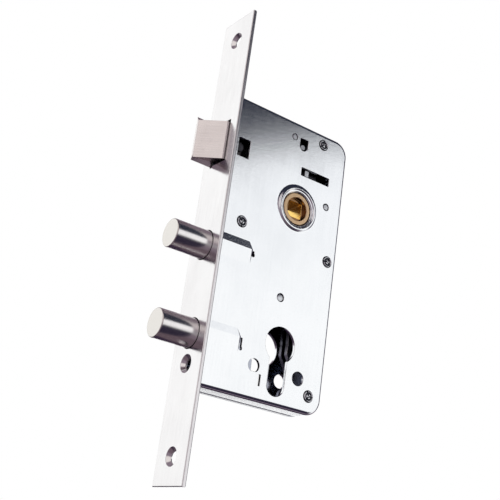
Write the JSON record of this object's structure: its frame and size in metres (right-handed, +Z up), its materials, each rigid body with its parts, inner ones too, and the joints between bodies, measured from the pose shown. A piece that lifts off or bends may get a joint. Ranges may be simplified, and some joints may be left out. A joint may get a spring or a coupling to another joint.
{
  "type": "mortise lock",
  "caption": "Narrow-forend mortise lock: sprung bevelled latch, round deadbolts on a shared carrier, square-drive follower and profile cylinder cutout, in a flat pressed case.",
  "frame": {"origin": "centre of the forend's front face, halfway along its length and width", "axes": "+Z up along the forend, +X from the forend's front face into the door, -Y towards the side with the pressed cover"},
  "size_m": [0.0924, 0.025, 0.235],
  "materials": {
    "satin_nickel": "satin nickel plate",
    "zinc_plate": "zinc plated sheet steel",
    "mild_steel": "zinc plated steel",
    "bronze": "sintered bronze",
    "spring_steel": "oiled spring wire"
  },
  "bodies": {
    "case": {"forend": "satin_nickel", "case_body": "zinc_plate", "back_plate": "zinc_plate", "post_top": "mild_steel", "post_front": "mild_steel", "post_rear": "mild_steel", "post_bottom": "mild_steel", "plate_guide_pin": "mild_steel", "tail_guide_pin": "mild_steel", "follower_stop_pin": "mild_steel", "tail_guide": "mild_steel", "detent_spring": "spring_steel", "latch_spring": "spring_steel"},
    "follower": {"follower": "bronze"},
    "latch": {"latch_head": "satin_nickel", "latch_tail": "mild_steel", "latch_rivet": "mild_steel", "tail_lug": "mild_steel"},
    "deadbolts": {"upper_bolt": "satin_nickel", "lower_bolt": "satin_nickel", "bolt_plate": "mild_steel"},
    "key_lever": {"key_lever": "zinc_plate"}
  },
  "joints": [
    {"name": "latch_slide", "type": "slide", "parent": "case", "child": "latch", "axis": [1, 0, 0], "range_m": [0, 0.0115], "stiffness_N_per_m": 400, "springref_m": -0.008, "deforming": ["latch_spring"]},
    {"name": "follower_turn", "type": "hinge", "parent": "case", "child": "follower", "pos_m": [0.045, 0, 0.02574], "axis": [0, 1, 0], "range_deg": [0, 43.85]},
    {"name": "key_lever_turn", "type": "hinge", "parent": "case", "child": "key_lever", "pos_m": [0.065, 0, -0.0646], "axis": [0, 1, 0], "range_deg": [0, 5.88]},
    {"name": "deadbolt_slide", "type": "slide", "parent": "case", "child": "deadbolts", "axis": [1, 0, 0], "range_m": [0, 0.019], "deforming": ["detent_spring"]}
  ],
  "couplings": [
    {"joint": "follower_turn", "follows": "latch_slide", "rad_per_m": 66.549},
    {"joint": "key_lever_turn", "follows": "latch_slide", "rad_per_m": 8.917}
  ]
}
